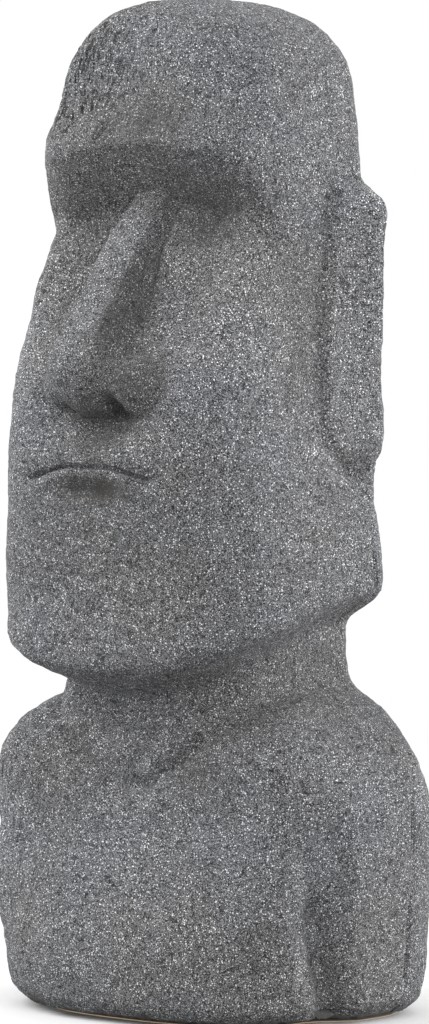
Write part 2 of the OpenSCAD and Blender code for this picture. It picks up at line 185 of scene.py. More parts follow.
def through(stations, z):
    """A smooth curve without overshoot through stations of (height, value)."""
    high, value = np.array(stations, float).T
    rise = np.diff(value) / np.diff(high)
    both = rise[:-1] * rise[1:]
    bend = np.where(both > 0, 2 * both / np.where(both > 0, rise[:-1] + rise[1:], 1), 0)
    slope = np.concatenate((rise[:1], bend, rise[-1:]))
    i = np.clip(np.searchsorted(high, z, side="right") - 1, 0, len(high) - 2)
    step = high[i + 1] - high[i]
    t = np.clip((z - high[i]) / step, 0, 1)
    return (
        (2 * t ** 3 - 3 * t ** 2 + 1) * value[i] + (t ** 3 - 2 * t ** 2 + t) * step * slope[i]
        + (3 * t ** 2 - 2 * t ** 3) * value[i + 1] + (t ** 3 - t ** 2) * step * slope[i + 1])


def soft_max(a, b, k):
    """The larger of two values, with the crease between them rounded over k."""
    t = np.clip(0.5 + 0.5 * (a - b) / k, 0, 1)
    return b + (a - b) * t + k * t * (1 - t)


HEAD_HALF_WIDTH = (
    (245, 124), (296, 126), (369, 116.7), (497, 109), (612, 102), (639, 98), (710, 95))
HEAD_FRONT = (
    (244, 154), (284, 152), (385, 162), (405, 162), (440, 160), (497, 139), (582, 128), (608, 125),
    (639, 111), (710, 100))
HEAD_SQUARENESS = ((245, 3.8), (440, 3.8), (511, 4.4), (612, 4.4), (710, 3.6))
BROW_Z, BROW_UNDER, EYE_HOLLOW, CHEEK_LOW = 606, 40, 44, 398
NOSE_LOW, NOSE_ROOT = 415, 596
NOSE_RIDGE = (
    (415, 134), (417, 149), (421, 161), (429, 171), (439, 180), (451, 184), (468.6, 178), (497, 156),
    (539.6, 124), (575, 91), (596.4, 62))
RIDGE_HALF = (
    (417, 13), (426, 16.5), (438, 20.5), (450, 23.5), (468.6, 20.5), (497, 16), (540, 15.5),
    (596.4, 13))
NOSE_SIDE = ((434.5, 1.2), (448, 2.0), (466, 4.6), (596.4, 5.2))
WING_X, WING_Z, WING_HALF_W, WING_HALF_H = 36, 440, 20, 21
WING_D, WING_SWELL = 147, 23
BEHIND = -100


def face_depth(x, z):
    """Depth of the face in front of the joint: the brow that rolls under to a sharp corner, the eye
    hollows, the long slope of the cheeks and the nose with its steep sides and round wings. On the
    figure's right the brow rolls over more softly, and the cheek and the nose's wing are leaner."""
    right = ease(0, -20, x)
    x = abs(x)
    n = through(HEAD_SQUARENESS, z)
    across = np.clip(x / through(HEAD_HALF_WIDTH, z), 0, 0.999)
    deep = (1 - across ** n) ** (1 / n)
    turn = np.degrees(np.arctan2(deep, across))
    outer = ease(82, 50, turn)
    brow = BROW_Z - 5 * outer - 37 * ease(46, 26, turn)
    corner = brow - BROW_UNDER - 8 * outer
    roll = np.maximum((brow - z) / (brow - corner), 0) ** (1.05 + 0.25 * right)
    cheek = np.maximum((z - CHEEK_LOW) / (corner - CHEEK_LOW), 0) ** 1.15
    wide, narrow = ease(15, 46, turn), ease(34, 66, turn)
    share = narrow + (wide - narrow) * ease(corner - 60, brow, z)
    hollow = -EYE_HOLLOW * share * soft_max(-roll, -cheek, 0.14)
    lip_hollow = (13 - 6 * right) * ease(62, 16, x) * ease(380, 415, z) * ease(469, 433, z)
    swell = (8 - 14 * right) * np.exp(-((x - 24) / 22) ** 2) * ease(440, 472, z) * ease(562, 525, z)
    face = (through(HEAD_FRONT, z) - hollow) * deep - lip_hollow + swell
    half = through(RIDGE_HALF, z)
    ridge = (
        through(NOSE_RIDGE, z) - through(NOSE_SIDE, z) * np.maximum(0, x - half)
        - (2.4 + 4.6 * ease(480, 452, z)) * np.minimum(1.2, x / half) ** 2)
    ridge = np.where((z > NOSE_LOW) & (z < NOSE_ROOT), ridge, BEHIND)
    q = 1 - ((x - WING_X + 5 * right) / WING_HALF_W) ** 2 - ((z - WING_Z) / WING_HALF_H) ** 2
    wing = WING_D - 8 * right + np.where(q > 0, WING_SWELL * np.sqrt(np.maximum(q, 0)), 30 * q)
    return soft_max(face, soft_max(ridge, wing, 14), 2.4)


def carve_face(made):
    """Cuts the face to its full sharpness, which the solid's wider grid can't hold."""
    verts = skin_verts(made)
    at = np.array([v.co for v in verts]) / MM
    x, y, z = at.T
    share = ease(398, 408, z) * ease(626, 612, z) * ease(96, 80, abs(x)) * ease(-4, -20, y)
    y = y + share * (SEAM_Y - face_depth(x, z) - y)
    for v, depth in zip(verts, y):
        v.co.y = depth * MM


EAR_LOW, EAR_TOP, EAR_OUT, EAR_TAPER = 368, 583.6, 28, 12
EAR_FRONT = (
    (372, 10), (383, 22), (393, 36), (405, 43), (425, 46), (448, 45), (484, 42), (525, 35), (560, 28),
    (577, 21), (590, 14))
EAR_STEP = 0.28


def carve_ears(made):
    """Cuts the ears' fronts: a low step along a curved line, then a slope out to the joint."""
    verts = skin_verts(made)
    at = np.array([v.co for v in verts]) / MM
    x, y, z = at.T
    d = SEAM_Y - y
    n = through(HEAD_SQUARENESS, z)
    deep = np.clip(d / through(HEAD_FRONT, z), 0, 0.999)
    head = through(HEAD_HALF_WIDTH, z) * (1 - deep ** n) ** (1 / n)
    tall = (
        (EAR_OUT - EAR_TAPER * ease(EAR_TOP, EAR_LOW, z)) * ease(EAR_LOW, EAR_LOW + 18, z)
        * np.sqrt(ease(EAR_TOP, EAR_TOP - 24, z)))
    front = through(EAR_FRONT, z)
    rise = EAR_STEP * ease(front, front - 5, d) + (1 - EAR_STEP) * ease(front + 2, -8, d)
    share = (
        ease(94, 103, abs(x)) * ease(-18, -8, y) * ease(2, 14, d) * ease(366, 374, z)
        * ease(592, 586, z))
    x = x + share * (np.sign(x) * (head + tall * rise) - x)
    for v, across in zip(verts, x):
        v.co.x = across * MM


def soften(made, where, passes):
    """Smooths the skin's vertices at the place asked for, in millimetres."""
    verts = [
        v for v in made.verts
        if all(f.material_index == 0 for f in v.link_faces) and where(v.co / MM)]
    for _ in range(passes):
        bmesh.ops.smooth_vert(
            made, verts=verts, factor=0.5, use_axis_x=True, use_axis_y=True, use_axis_z=True)


LUMPS = ((1.1, 62, (0, 0, 0)), (0.8, 23, (9, 4, 7)), (0.6, 9.5, (3, 8, 1)), (0.55, 4.4, (0, 0, 0)))


def stone_lumps(at):
    """Swell of the hand-pressed skin, in millimetres: slow waves, palm-size lumps and brush stipple,
    each with a height, a length and a shift."""
    return np.array([
        sum(high * noise.noise(Vector(p) / length + Vector(shift)) for high, length, shift in LUMPS)
        for p in at])


def wrinkles(at):
    """Depth of the torn skin: upright on the far brow and the far side of the bust, level on the near
    shoulder, and slanting beside the arms' grooves."""
    x, y, z = at.T
    upright = ease(0, -70, x) * ease(606, 640, z) + 0.6 * ease(-60, -110, x) * ease(235, 200, z)
    level = ease(100, 138, x) * ease(240, 215, z) * ease(125, 160, z) * ease(-60, -10, y)
    slant = ease(95, 118, abs(x)) * ease(185, 140, z) * ease(30, 0, y)
    deep = np.zeros(len(at))
    for i in np.flatnonzero(upright + level + slant):
        a, b, c = at[i]
        up = noise.noise(Vector((a / 4.2, b / 4.2, c / 14)))
        flat = noise.noise(Vector((a / 15, b / 15, c / 4.2)))
        tilted = noise.noise(Vector((a / 9, (b + c) / 4.6, (c - b) / 16)))
        deep[i] = (
            3.0 * upright[i] * max(0, up - 0.02) + 1.4 * level[i] * max(0, flat - 0.15)
            + 2.2 * slant[i] * max(0, tilted - 0.06))
    return deep


CRACKS = ((512, 572, 2.6), (446, 460, 1.4), (300, 322, 2.2), (118, 152, 2.4), (28, 84, 2.0))


def seam_line(at):
    """Depth of the joint between the shells: a hairline that opens to a crack here and there."""
    z = at[:, 2]
    deep = 0.35 + 0 * z
    for low, high, wide in CRACKS:
        deep += wide * ease(low - 3, low + 5, z) * ease(high + 3, high - 5, z)
    return deep * ease(2.4, 0, abs(at[:, 1] - SEAM_Y))


def ear_shape(at):
    """How the ears' edge swells at the top, draws in at the middle and is cut short at the lobe."""
    x, y, z = at.T
    edge = ease(96, 112, abs(x)) * ease(34, 14, abs(y - SEAM_Y)) * (z > 340)
    return edge * (
        3.0 * np.exp(-((z - 560) / 18) ** 2) - 0.8 * np.exp(-((z - 455) / 24) ** 2)
        + 1.2 * np.exp(-((z - 417) / 12) ** 2) - 5.0 * np.exp(-((z - 384) / 8) ** 2))


TILT, TILT_X, TILT_Y, TILT_REACH = 4.5, 0.766, 0.643, 70


def crown_tilt(at):
    """How far the crown is lifted at the far front and lowered at the near back, in millimetres."""
    x, y, z = at.T
    across = (TILT_X * x + TILT_Y * (y - SEAM_Y)) / TILT_REACH
    return -TILT * np.clip(across, -1.2, 1.2) * ease(640, 700, z)


def foot_edge(at):
    """How far the foot's lower edge is broken away upwards, in millimetres."""
    lift = np.empty(len(at))
    for i, p in enumerate(at):
        wave = noise.noise(Vector((p[0] / 70, p[1] / 70, 5.1)))
        chips = noise.noise(Vector((p[0] / 13, p[1] / 13, 2.7)))
        lift[i] = 2.6 + 2.2 * wave + 1.1 * chips + 2.4 * (p[0] < -60) * (p[1] < SEAM_Y)
    return np.clip(lift, 0, 7) * ease(34, 3, at[:, 2])


def score(at, out, marks):
    """Depth of chisel strokes and nicks. Each mark has a place, a length, a half width, a depth and
    a tilt from upright, and lies on the skin at the point nearest to its place."""
    deep = np.zeros(len(at))
    tree = kdtree.KDTree(len(at))
    for i, p in enumerate(at):
        tree.insert(p, i)
    tree.balance()
    for place, length, half, depth, tilt in marks:
        _, i, _ = tree.find(place)
        way = Vector(out[i])
        along = Vector((0, 0, 1)) - way * way.z
        if along.length < 0.2:
            along = Vector((1, 0, 0)) - way * way.x
        along.normalize()
        along = along * math.cos(tilt) + way.cross(along) * math.sin(tilt)
        middle = Vector(at[i])
        for p, k, _ in tree.find_range(middle, length / 2 + 3 * half):
            step = (p - middle).dot(along)
            past = max(0, abs(step) - length / 2)
            off = ((p - middle) - along * step - way * (p - middle).dot(way)).length
            reach = math.hypot(off / half, past / half)
            taper = 1 - 0.6 * (step / (length / 2 + half)) ** 2
            deep[k] = max(deep[k], depth * max(0, taper) * math.exp(-reach * reach))
    return deep


def scattered(count, seed, box, sizes, tilt):
    """Marks strewn in a box of (x, y, z) ranges, with ranges of length, half width and depth."""
    draw = random.Random(seed)
    return [(
        tuple(draw.uniform(*side) for side in box), *(draw.uniform(*size) for size in sizes),
        draw.gauss(*tilt)) for _ in range(count)]


MOUTH_Z, MOUTH_HALF, MOUTH_DROP = 384, 62, 9


def face_cuts(at):
    """Depth of what is cut into the face: the mouth, the hollow below it, the nostrils, and the fold
    beside the nose."""
    x, y, z = at.T
    front = ease(-20, -40, y)
    rise = z - (MOUTH_Z - MOUTH_DROP * ease(14, MOUTH_HALF, abs(x)))
    cut = 5.6 * np.exp(-(rise / 1.25) ** 2) * ease(MOUTH_HALF, 46, abs(x))
    under = 6.0 * np.exp(-((z - 368) / 7.5) ** 2 - (x / 30) ** 2)
    furrow = 1.4 * np.exp(-(x / 8) ** 4) * ease(390, 400, z) * ease(424, 414, z)
    nostril = np.exp(-((abs(x) - 26) / 7) ** 2 - ((z - 426) / 6) ** 2) * (0.5 + 6.5 * ease(0, 20, x))
    beside = abs(x) - 20.5 - 0.09 * (560 - z)
    fold = 1.6 * np.exp(-((beside + 3.5) / 2.6) ** 2) - 1.8 * np.exp(-((beside - 2.5) / 3.2) ** 2)
    fold *= ease(500, 522, z) * ease(572, 556, z)
    return front * (cut + under + furrow + nostril + fold)


def bust_cuts(at):
    """Depth of the crease where the neck meets the bust, and of the crease in each arm's groove, less
    the fill at the groove's upper end and along its bank."""
    x, y, z = at.T
    deep = SEAM_Y - y
    turn = np.degrees(np.arctan2(np.maximum(deep, 0) / 115, abs(x) / 100))
    off = z - (154 + 70 * ease(90, 22, turn)) - 7
    collar = 4.0 * np.exp(-(off / 4.5) ** 2) * ease(18, 34, turn)
    turn = np.degrees(np.arctan2(np.maximum(deep, 0) / 146, abs(x) / 152))
    off = turn - 24 - 18 * z / 170
    groove = 6 * np.exp(-(off / 2.4) ** 2) * ease(150, 30, z) * ease(-12, 20, z)
    groove -= 5 * np.exp(-(off / 7) ** 2) * ease(70, 120, z) * ease(205, 175, z)
    groove -= 4 * np.exp(-((off - 11) / 6) ** 2) * ease(45, 80, z) * ease(190, 160, z)
    return (deep > 0) * (collar + groove)


def press(piece, skin, verts, at, out, push):
    """Moves the skin out by a push in millimetres, breaks the foot's edge, tilts the crown, and gives
    the piece its mesh, smooth but for the rims and the inside."""
    moved = at + out * push[:, None]
    moved[:, 2] += foot_edge(at) + crown_tilt(at)
    for v, p in zip(verts, moved):
        v.co = p * MM
    for e in skin.edges:
        e.smooth = len({f.material_index for f in e.link_faces}) == 1
    for f in skin.faces:
        f.smooth = f.material_index == 0
    skin.to_mesh(piece.data)
    skin.free()


front_marks = (
    scattered(90, 3, ((-100, -15), (-80, -35), (612, 700)),
        ((6, 20), (0.8, 1.4), (0.9, 2.4)), (0.1, 0.3))
    + scattered(60, 5, ((-20, 105), (-90, -20), (618, 704)),
        ((4, 13), (1.0, 1.6), (1.2, 2.4)), (0.6, 0.5))
    + scattered(60, 8, ((-125, 125), (-118, 40), (260, 600)),
        ((3, 8), (0.9, 1.5), (0.6, 1.6)), (0.0, 0.8))
    + scattered(150, 11, ((-160, 160), (-105, 45), (20, 220)),
        ((4, 14), (1.0, 1.8), (1.2, 2.6)), (0.4, 0.9))
    + [((-56, -65, 621), 18, 1.5, 3.2, 0.05), ((-20, -70, 616), 19, 1.2, 2.4, 0.1),
       ((-26, -47, 679), 5, 2.0, 3.4, 0.5), ((-51, -56, 645), 9, 1.4, 2.6, 0.2),
       ((-32, -56, 650), 6, 1.3, 2.2, 0.6), ((6, -55, 656), 8, 1.1, 2.0, 0.4),
       ((15, -43, 685), 14, 1.2, 2.0, 0.7), ((54, -46, 674), 15, 1.2, 2.0, 0.8),
       ((70, -63, 618), 5, 1.4, 2.2, 1.2), ((43, -111, 449), 5, 1.0, 1.5, 1.0),
       ((142, 49, 187), 13, 1.0, 2.0, 1.4), ((150, 45, 170), 11, 1.0, 2.0, 1.45)])

front_shell, skin = rounded(casting("front_shell"), "front_stone")
refine(skin, skin_edges(skin))
crisper(skin, 0.6, 40)
refine(skin, skin_edges(skin, lambda p: (
    p.y < -40 and abs(p.x) < 57 and 409 < p.z < 474  # the nose's tip
    or p.y < -20 and 9 < abs(p.x) < 31 and 474 <= p.z < 556  # its sides
    or p.y < -40 and abs(p.x) < MOUTH_HALF and 371 < p.z < 390
    or p.x < -12 and p.y < -15 and 606 < p.z < 688)))  # the scored side of the forehead
carve_face(skin)
soften(skin, lambda p: 76 < abs(p.x) < 112 and p.y < -4 and 515 < p.z < 592, 60)
carve_ears(skin)
skin.normal_update()
verts, at, out = skin_normals(skin)
push = (
    stone_lumps(at) + ear_shape(at) - wrinkles(at) - seam_line(at) - face_cuts(at) - bust_cuts(at)
    - score(at, out, front_marks))
press(front_shell, skin, verts, at, out, push)


def node(tree, kind, inputs=None, **settings):
    """A shader node with its settings, and its inputs given as values or as other nodes' sockets."""
    made = tree.nodes.new("ShaderNode" + kind)
    for name, value in settings.items():
        setattr(made, name, value)
    for name, value in (inputs or {}).items():
        if isinstance(value, bpy.types.NodeSocket):
            tree.links.new(value, made.inputs[name])
        else:
            made.inputs[name].default_value = value
    return made


def sums(tree, kind, a, b=0.5):
    """The socket of a Math node."""
    return node(tree, "Math", {0: a, 1: b}, operation=kind).outputs[0]


def times(tree, first, *more):
    """The socket of several values multiplied."""
    for value in more:
        first = sums(tree, "MULTIPLY", first, value)
    return first


def most(tree, first, *more):
    """The socket of the largest of several values."""
    for value in more:
        first = sums(tree, "MAXIMUM", first, value)
    return first


def noisy(tree, place, scale, detail, **more):
    """The socket of a noise pattern, with 0.5 as its middle."""
    inputs = {"Vector": place, "Scale": scale, "Detail": detail, **more}
    return node(tree, "TexNoise", inputs).outputs[0]


def between(tree, value, low, high, to_low=0.0, to_high=1.0):
    """The socket of a value stretched from one range to another, and held at the ends."""
    return node(tree, "MapRange", {
        "Value": value, "From Min": low, "From Max": high, "To Min": to_low, "To Max": to_high,
    }).outputs[0]


def tinted(tree, share, first, second, kind="MIX"):
    """The socket of two colours mixed by a share."""
    return node(
        tree, "Mix", {0: share, 6: first, 7: second}, data_type="RGBA", blend_type=kind).outputs[2]


def new_material(name, **constants):
    """A material with its shader, the shader's constants and the object's own coordinates."""
    material = bpy.data.materials.new(name)
    material.use_nodes = True
    tree = material.node_tree
    shader = tree.nodes["Principled BSDF"]
    for socket, value in constants.items():
        shader.inputs[socket.replace("_", " ")].default_value = value
    return material, tree, shader, node(tree, "TexCoord").outputs["Object"]


def dress(tree, shader, colour, rough, height, strength, depth):
    """Feeds the shader with a colour, a roughness and a bump of some strength and depth in metres."""
    bump = node(tree, "Bump", {"Strength": strength, "Distance": depth, "Height": height})
    for socket, value in (("Base Color", colour), ("Roughness", rough), ("Normal", bump.outputs[0])):
        tree.links.new(value, shader.inputs[socket])


def grey(value, warm=0.0):
    """A grey with a little warmth or coolness."""
    return (value * (1 + warm), value, value * (1 - warm), 1)


def chips(tree, place, scale, shift, share, low, high):
    """Masks of separate round chips, only a share of the cells has one, each of its own size, and of
    the thin rims round them, with a value drawn for each chip."""
    moved = node(tree, "Mapping", {0: place, 1: shift}).outputs[0]
    cells = node(tree, "TexVoronoi", {"Vector": moved, "Scale": scale})
    draw = node(tree, "SeparateColor", {0: cells.outputs["Color"]})
    size = between(tree, draw.outputs[0], 0, 1, low, high)
    there = sums(tree, "LESS_THAN", draw.outputs[1], share)
    edge = sums(tree, "SUBTRACT", size, cells.outputs["Distance"])
    rim = times(tree, between(tree, edge, -0.30, -0.05), there)
    return times(tree, between(tree, edge, 0, 0.05), there), rim, draw.outputs[2]


def cuts(tree, place, scale, low):
    """A mask of torn strokes, drawn out along the axis that has the smallest scale."""
    drawn = node(tree, "Mapping", {0: place, 2: (0.0, 0.22, 0.0), 3: scale}).outputs[0]
    wave = noisy(tree, drawn, 1.0, 2, Distortion=0.5)
    return between(tree, wave, low, low + 0.06)


def patch(tree, where, middle, reach):
    """A soft oval mask on both sides of the face, at a distance from its middle and a height."""
    across = sums(tree, "SUBTRACT", sums(tree, "ABSOLUTE", where[0]), middle[0])
    across = sums(tree, "DIVIDE", across, reach[0])
    up = sums(tree, "DIVIDE", sums(tree, "SUBTRACT", where[2], middle[1]), reach[1])
    both = node(tree, "CombineXYZ", {0: across, 1: up}).outputs[0]
    away = node(tree, "VectorMath", {0: both}, operation="LENGTH").outputs["Value"]
    return times(tree, between(tree, away, 1, 0.15), between(tree, where[1], -0.01, -0.03))


GRAIN_CELLS, WHITE_CELLS, DARK_CELLS = 2300, 765, 850
# Patches of painted shade on the skin: distance from the middle and height, reach, share
PAINTED_SHADE_PATCHES = (
    ((0.018, 0.622), (0.062, 0.030), 0.55), ((0.055, 0.566), (0.062, 0.042), 0.46),
    ((0.049, 0.548), (0.030, 0.024), 0.66), ((0.021, 0.492), (0.014, 0.064), 0.54),
    ((0.043, 0.443), (0.021, 0.022), 0.64), ((0.014, 0.420), (0.030, 0.014), 0.68),
    ((0.0, 0.404), (0.034, 0.022), 0.52), ((0.065, 0.173), (0.050, 0.022), 0.40),
    ((0.012, 0.368), (0.040, 0.015), 0.95))
# Patches of painted light on the skin, in the same columns
PAINTED_LIGHT_PATCHES = (((0.092, 0.470), (0.035, 0.075), 0.26), ((0.112, 0.118), (0.030, 0.055), 0.18))

granite, tree, shader, place = new_material("granite_cast", Specular_IOR_Level=0.3)
where = at_x, at_y, at_z = tuple(node(tree, "SeparateXYZ", {0: place}).outputs)
off_middle = sums(tree, "ABSOLUTE", at_x)
drift = noisy(tree, place, 11, 3)
cloud = noisy(tree, place, 95, 4, Roughness=0.6)
bare = noisy(tree, place, 38, 2)
grains = node(tree, "TexVoronoi", {"Vector": place, "Scale": GRAIN_CELLS})
grain = node(tree, "SeparateColor", {0: grains.outputs["Color"]}).outputs[0]
body = node(tree, "ValToRGB", {0: grain})
ramp = body.color_ramp.elements
ramp[0].position, ramp[0].color = 0.0, grey(0.015)
ramp[1].position, ramp[1].color = 1.0, grey(0.420)
for share, value in ((0.34, 0.030), (0.52, 0.140), (0.72, 0.290)):
    ramp.new(share).color = grey(value)
crowd = sums(
    tree, "ADD", between(tree, cloud, 0.36, 0.64, 0.22, 0.56), between(tree, at_z, 0.32, 0.18, 0, 0.10))
white, rim, bright = chips(tree, place, WHITE_CELLS, (0.13, 0.07, 0.02), crowd, 0.21, 0.46)
dark, _, _ = chips(tree, place, DARK_CELLS, (0.05, 0.23, 0.19), 0.43, 0.23, 0.47)

far_brow = times(tree, between(tree, at_x, 0.02, -0.06, 0.15, 1), between(tree, at_z, 0.600, 0.625))
far_bust = times(tree, between(tree, at_x, -0.05, -0.10, 0, 0.5), between(tree, at_z, 0.25, 0.20))
upright = times(tree, cuts(tree, place, (360, 360, 52), 0.570), most(tree, far_brow, far_bust))
shoulder = times(tree, between(tree, at_x, 0.10, 0.14), between(tree, at_z, 0.13, 0.17))
level = times(tree, cuts(tree, place, (80, 80, 420), 0.64), shoulder)
torn = times(tree, most(tree, upright, level), between(tree, bare, 0.30, 0.46))
torn = most(tree, torn, times(tree, cuts(tree, place, (230, 230, 230), 0.615), 0.6))

# Painted shade: darker round the neck below the jaw, on the sides of the head in front of the ears, in
# the nostrils, in the fold beside the nose on the figure's right, and in the patches listed above.
neck = times(
    tree, between(tree, at_z, 0.275, 0.245), between(tree, at_z, 0.150, 0.195),
    between(tree, at_y, -0.04, 0.02, 0.12, 0.32))
temple = times(
    tree, between(tree, at_y, -0.045, -0.02), between(tree, at_y, 0.02, 0.0),
    between(tree, off_middle, 0.085, 0.10), between(tree, at_z, 0.40, 0.44),
    between(tree, at_z, 0.56, 0.52, 0, 0.20))
nostril = times(
    tree, patch(tree, where, (0.026, 0.427), (0.014, 0.012)), between(tree, at_x, -0.01, 0.02, 0.2, 0.8))
fold = times(
    tree, patch(tree, where, (0.037, 0.510), (0.018, 0.075)), between(tree, at_x, -0.01, -0.02, 0, 0.75))
painted_shade = most(tree, neck, temple, nostril, fold)
for middle, reach, share in PAINTED_SHADE_PATCHES:
    painted_shade = most(tree, painted_shade, times(tree, patch(tree, where, middle, reach), share))
# The painted shade is weaker on the figure's right, down to 0.4 of it.
painted_shade = times(tree, painted_shade, between(tree, at_x, -0.03, 0.005, 0.4, 1))
# Painted light: the ears and the sides of the head beyond them are lighter, more so towards the top, and
# so are the patches of painted light listed above.
ear_painted_light = sums(
    tree, "ADD", between(tree, at_z, 0.36, 0.39, 0, 0.20), between(tree, at_z, 0.52, 0.56, 0, 0.18))
painted_light = times(tree, between(tree, off_middle, 0.106, 0.117), ear_painted_light)
for middle, reach, share in PAINTED_LIGHT_PATCHES:
    painted_light = sums(tree, "ADD", painted_light, times(tree, patch(tree, where, middle, reach), share))
# Random tone from the cloud, with the painted light added; it multiplies the colour.
shade = sums(tree, "ADD", between(tree, cloud, 0.3, 0.7, 0.96, 1.12), painted_light)
shade = node(tree, "CombineColor", {0: shade, 1: shade, 2: shade}).outputs[0]

colour = tinted(tree, times(tree, dark, 0.9), body.outputs[0], grey(0.008))
colour = tinted(tree, times(tree, rim, 0.5), colour, grey(0.02))
colour = tinted(tree, times(tree, white, between(tree, bright, 0, 0.6, 0.4, 1)), colour, grey(0.95))
# The torn strokes are painted nearly black, as painted shade in the cuts.
colour = tinted(tree, times(tree, torn, 0.9), colour, grey(0.008))
# The painted shade tints the colour towards a warm dark grey.
colour = tinted(tree, painted_shade, colour, grey(0.050, 0.10))
hue = tinted(tree, between(tree, drift, 0.36, 0.64), (0.975, 1.0, 1.060, 1), (1.000, 1.0, 1.014, 1))
colour = tinted(tree, 1.0, colour, hue, "MULTIPLY")
colour = tinted(tree, 1.0, colour, shade, "MULTIPLY")
height = sums(tree, "ADD", times(tree, grain, 0.18), times(tree, dark, -0.3))
height = sums(tree, "ADD", height, times(tree, cloud, 1.2))
height = sums(tree, "SUBTRACT", height, times(tree, torn, 1.1))
dress(tree, shader, colour, between(tree, white, 0, 1, 0.88, 0.5), height, 0.75, 0.0012)

raw_cast, tree, shader, place = new_material("raw_casting", Specular_IOR_Level=0.25)
trowel = noisy(tree, place, 24, 5, Distortion=0.8)
sand = noisy(tree, place, 480, 2)
wash = tinted(tree, between(tree, trowel, 0.3, 0.7), grey(0.13, 0.04), grey(0.24, 0.02))
wash = tinted(tree, between(tree, sand, 0.55, 0.7), wash, grey(0.34, 0.03))
rough = sums(tree, "ADD", trowel, times(tree, sand, 0.2))
dress(tree, shader, wash, between(tree, trowel, 0.3, 0.7, 0.75, 0.95), rough, 0.6, 0.002)

for finish in (granite, raw_cast):
    front_shell.data.materials.append(finish)
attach(front_shell, "figure")
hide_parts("front_shell")

# Back shell: the back of the head, of the ears and of the bust, the casting's other half.
# It comes from a plainer mould, is stippled and scored like the front, and its edges are bonded
# to the front shell's all the way round, which leaves a hairline joint.
back_marks = (
    scattered(60, 21, ((-110, 110), (60, 110), (420, 705)),
        ((4, 15), (0.9, 1.7), (0.4, 1.2)), (0.1, 0.5))
    + scattered(80, 22, ((-160, 160), (60, 130), (20, 400)),
        ((4, 14), (0.9, 1.7), (0.4, 1.0)), (0.3, 0.8)))
back_shell, skin = rounded(casting("back_shell"), "back_stone")
refine(skin, skin_edges(skin))
skin.normal_update()
verts, at, out = skin_normals(skin)
push = stone_lumps(at) + ear_shape(at) - wrinkles(at) - seam_line(at) - score(at, out, back_marks)
press(back_shell, skin, verts, at, out, push)
for finish in (granite, raw_cast):
    back_shell.data.materials.append(finish)
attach(back_shell, "figure")
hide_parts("back_shell")

# Seam strips: three strips of glass mat soaked in resin, which bond the shells together inside, one
# up each side and one over the crown. They are laid on wet against the wall, so their free face is
# lumpy, their edges are ragged, and the strands show through the amber resin.
def soaked_mat(node, name):
    """A strip cut fine, its free face lumpy and its two long edges pulled in here and there."""
    made = solid(node)
    bmesh.ops.join_triangles(
        made, faces=made.faces, angle_face_threshold=math.pi, angle_shape_threshold=math.pi,
        topology_influence=2)
    bmesh.ops.subdivide_edges(made, edges=made.edges, cuts=3, use_grid_fill=True)
    made.normal_update()
    middle = Vector((0, SEAM_Y, 330)) * MM
    half = max(abs(v.co.y - middle.y) for v in made.verts)
    for v in made.verts:
        p = v.co / MM
        free = v.normal.dot(middle - v.co) > 0
        ragged = 0.10 * max(0, noise.noise(p / 11))
        ragged += 0.06 * max(0, noise.noise(p / 4 + Vector((5, 1, 2))))
        share = abs(v.co.y - middle.y) / half
        v.co.y += (middle.y - v.co.y) * ragged * share ** 4
        if free:
            v.co += v.normal * MM * (0.5 * noise.noise(p / 9) + 0.3 * noise.noise(p / 3.5))
    for f in made.faces:
        f.smooth = True
    return placed(made, name)


def strands(tree, place, turn, scale):
    """A mask of thin glass strands that lie one way across the mat."""
    along = node(tree, "Mapping", {0: place, 2: turn, 3: (scale, scale, scale * 0.06)}).outputs[0]
    wave = noisy(tree, along, 1.0, 2, Distortion=0.3)
    return between(tree, sums(tree, "ABSOLUTE", sums(tree, "SUBTRACT", wave, 0.5)), 0.035, 0.0)


resin_mat, tree, shader, place = new_material("resin_mat", Specular_IOR_Level=0.5, Coat_Weight=0.35)
pool = noisy(tree, place, 40, 4)
glass = strands(tree, place, (0.5, 0.2, 0.9), 700)
for turn in ((1.3, 0.4, 0.1), (-0.7, 1.1, 0.5)):
    glass = most(tree, glass, strands(tree, place, turn, 620))
resin = tinted(tree, between(tree, pool, 0.35, 0.65), (0.22, 0.135, 0.055, 1), (0.36, 0.25, 0.12, 1))
resin = tinted(tree, times(tree, glass, 0.7), resin, (0.62, 0.58, 0.46, 1))
mat_height = sums(tree, "ADD", pool, times(tree, glass, 0.3))
dress(tree, shader, resin, between(tree, pool, 0.3, 0.7, 0.22, 0.5), mat_height, 0.5, 0.0008)

for side in ("left", "right", "crown"):
    strip = soaked_mat(side + "_seam_strip", side + "_seam_mat")
    strip.data.materials.append(resin_mat)
    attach(strip, "figure")
    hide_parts(side + "_seam_strip")

# Battens: four short lengths of sawn pine bedded in resin round the inside of the foot, one at the
# front, one at the rear and one across each seam. They are what the base board is screwed up into.
BATTEN_EDGE = 0.0009


def ease_edges(made, edge, limit=30):
    """Rounds the edges where two faces meet at more than the limit, in degrees."""
    sharp = [e for e in made.edges if e.is_manifold and e.calc_face_angle() > math.radians(limit)]
    bmesh.ops.bevel(
        made, geom=sharp, offset=edge, affect="EDGES", segments=2, profile=0.5, material=-1,
        clamp_overlap=True)


def eased_copy(node, edge):
    """A copy of a solid with its flat faces whole again and its sharp edges rounded."""
    made = solid(node)
    bmesh.ops.dissolve_limit(
        made, angle_limit=math.radians(1), verts=made.verts, edges=made.edges)
    ease_edges(made, edge, 28)
    return made


def finished(made, name, material):
    """The mesh as a piece at the origin, smooth but for its sharp edges, in its material."""
    made.normal_update()
    for e in made.edges:
        e.smooth = not e.is_manifold or e.calc_face_angle() < math.radians(40)
    for f in made.faces:
        f.smooth = True
    piece = placed(made, name)
    piece.data.materials.append(material)
    return piece


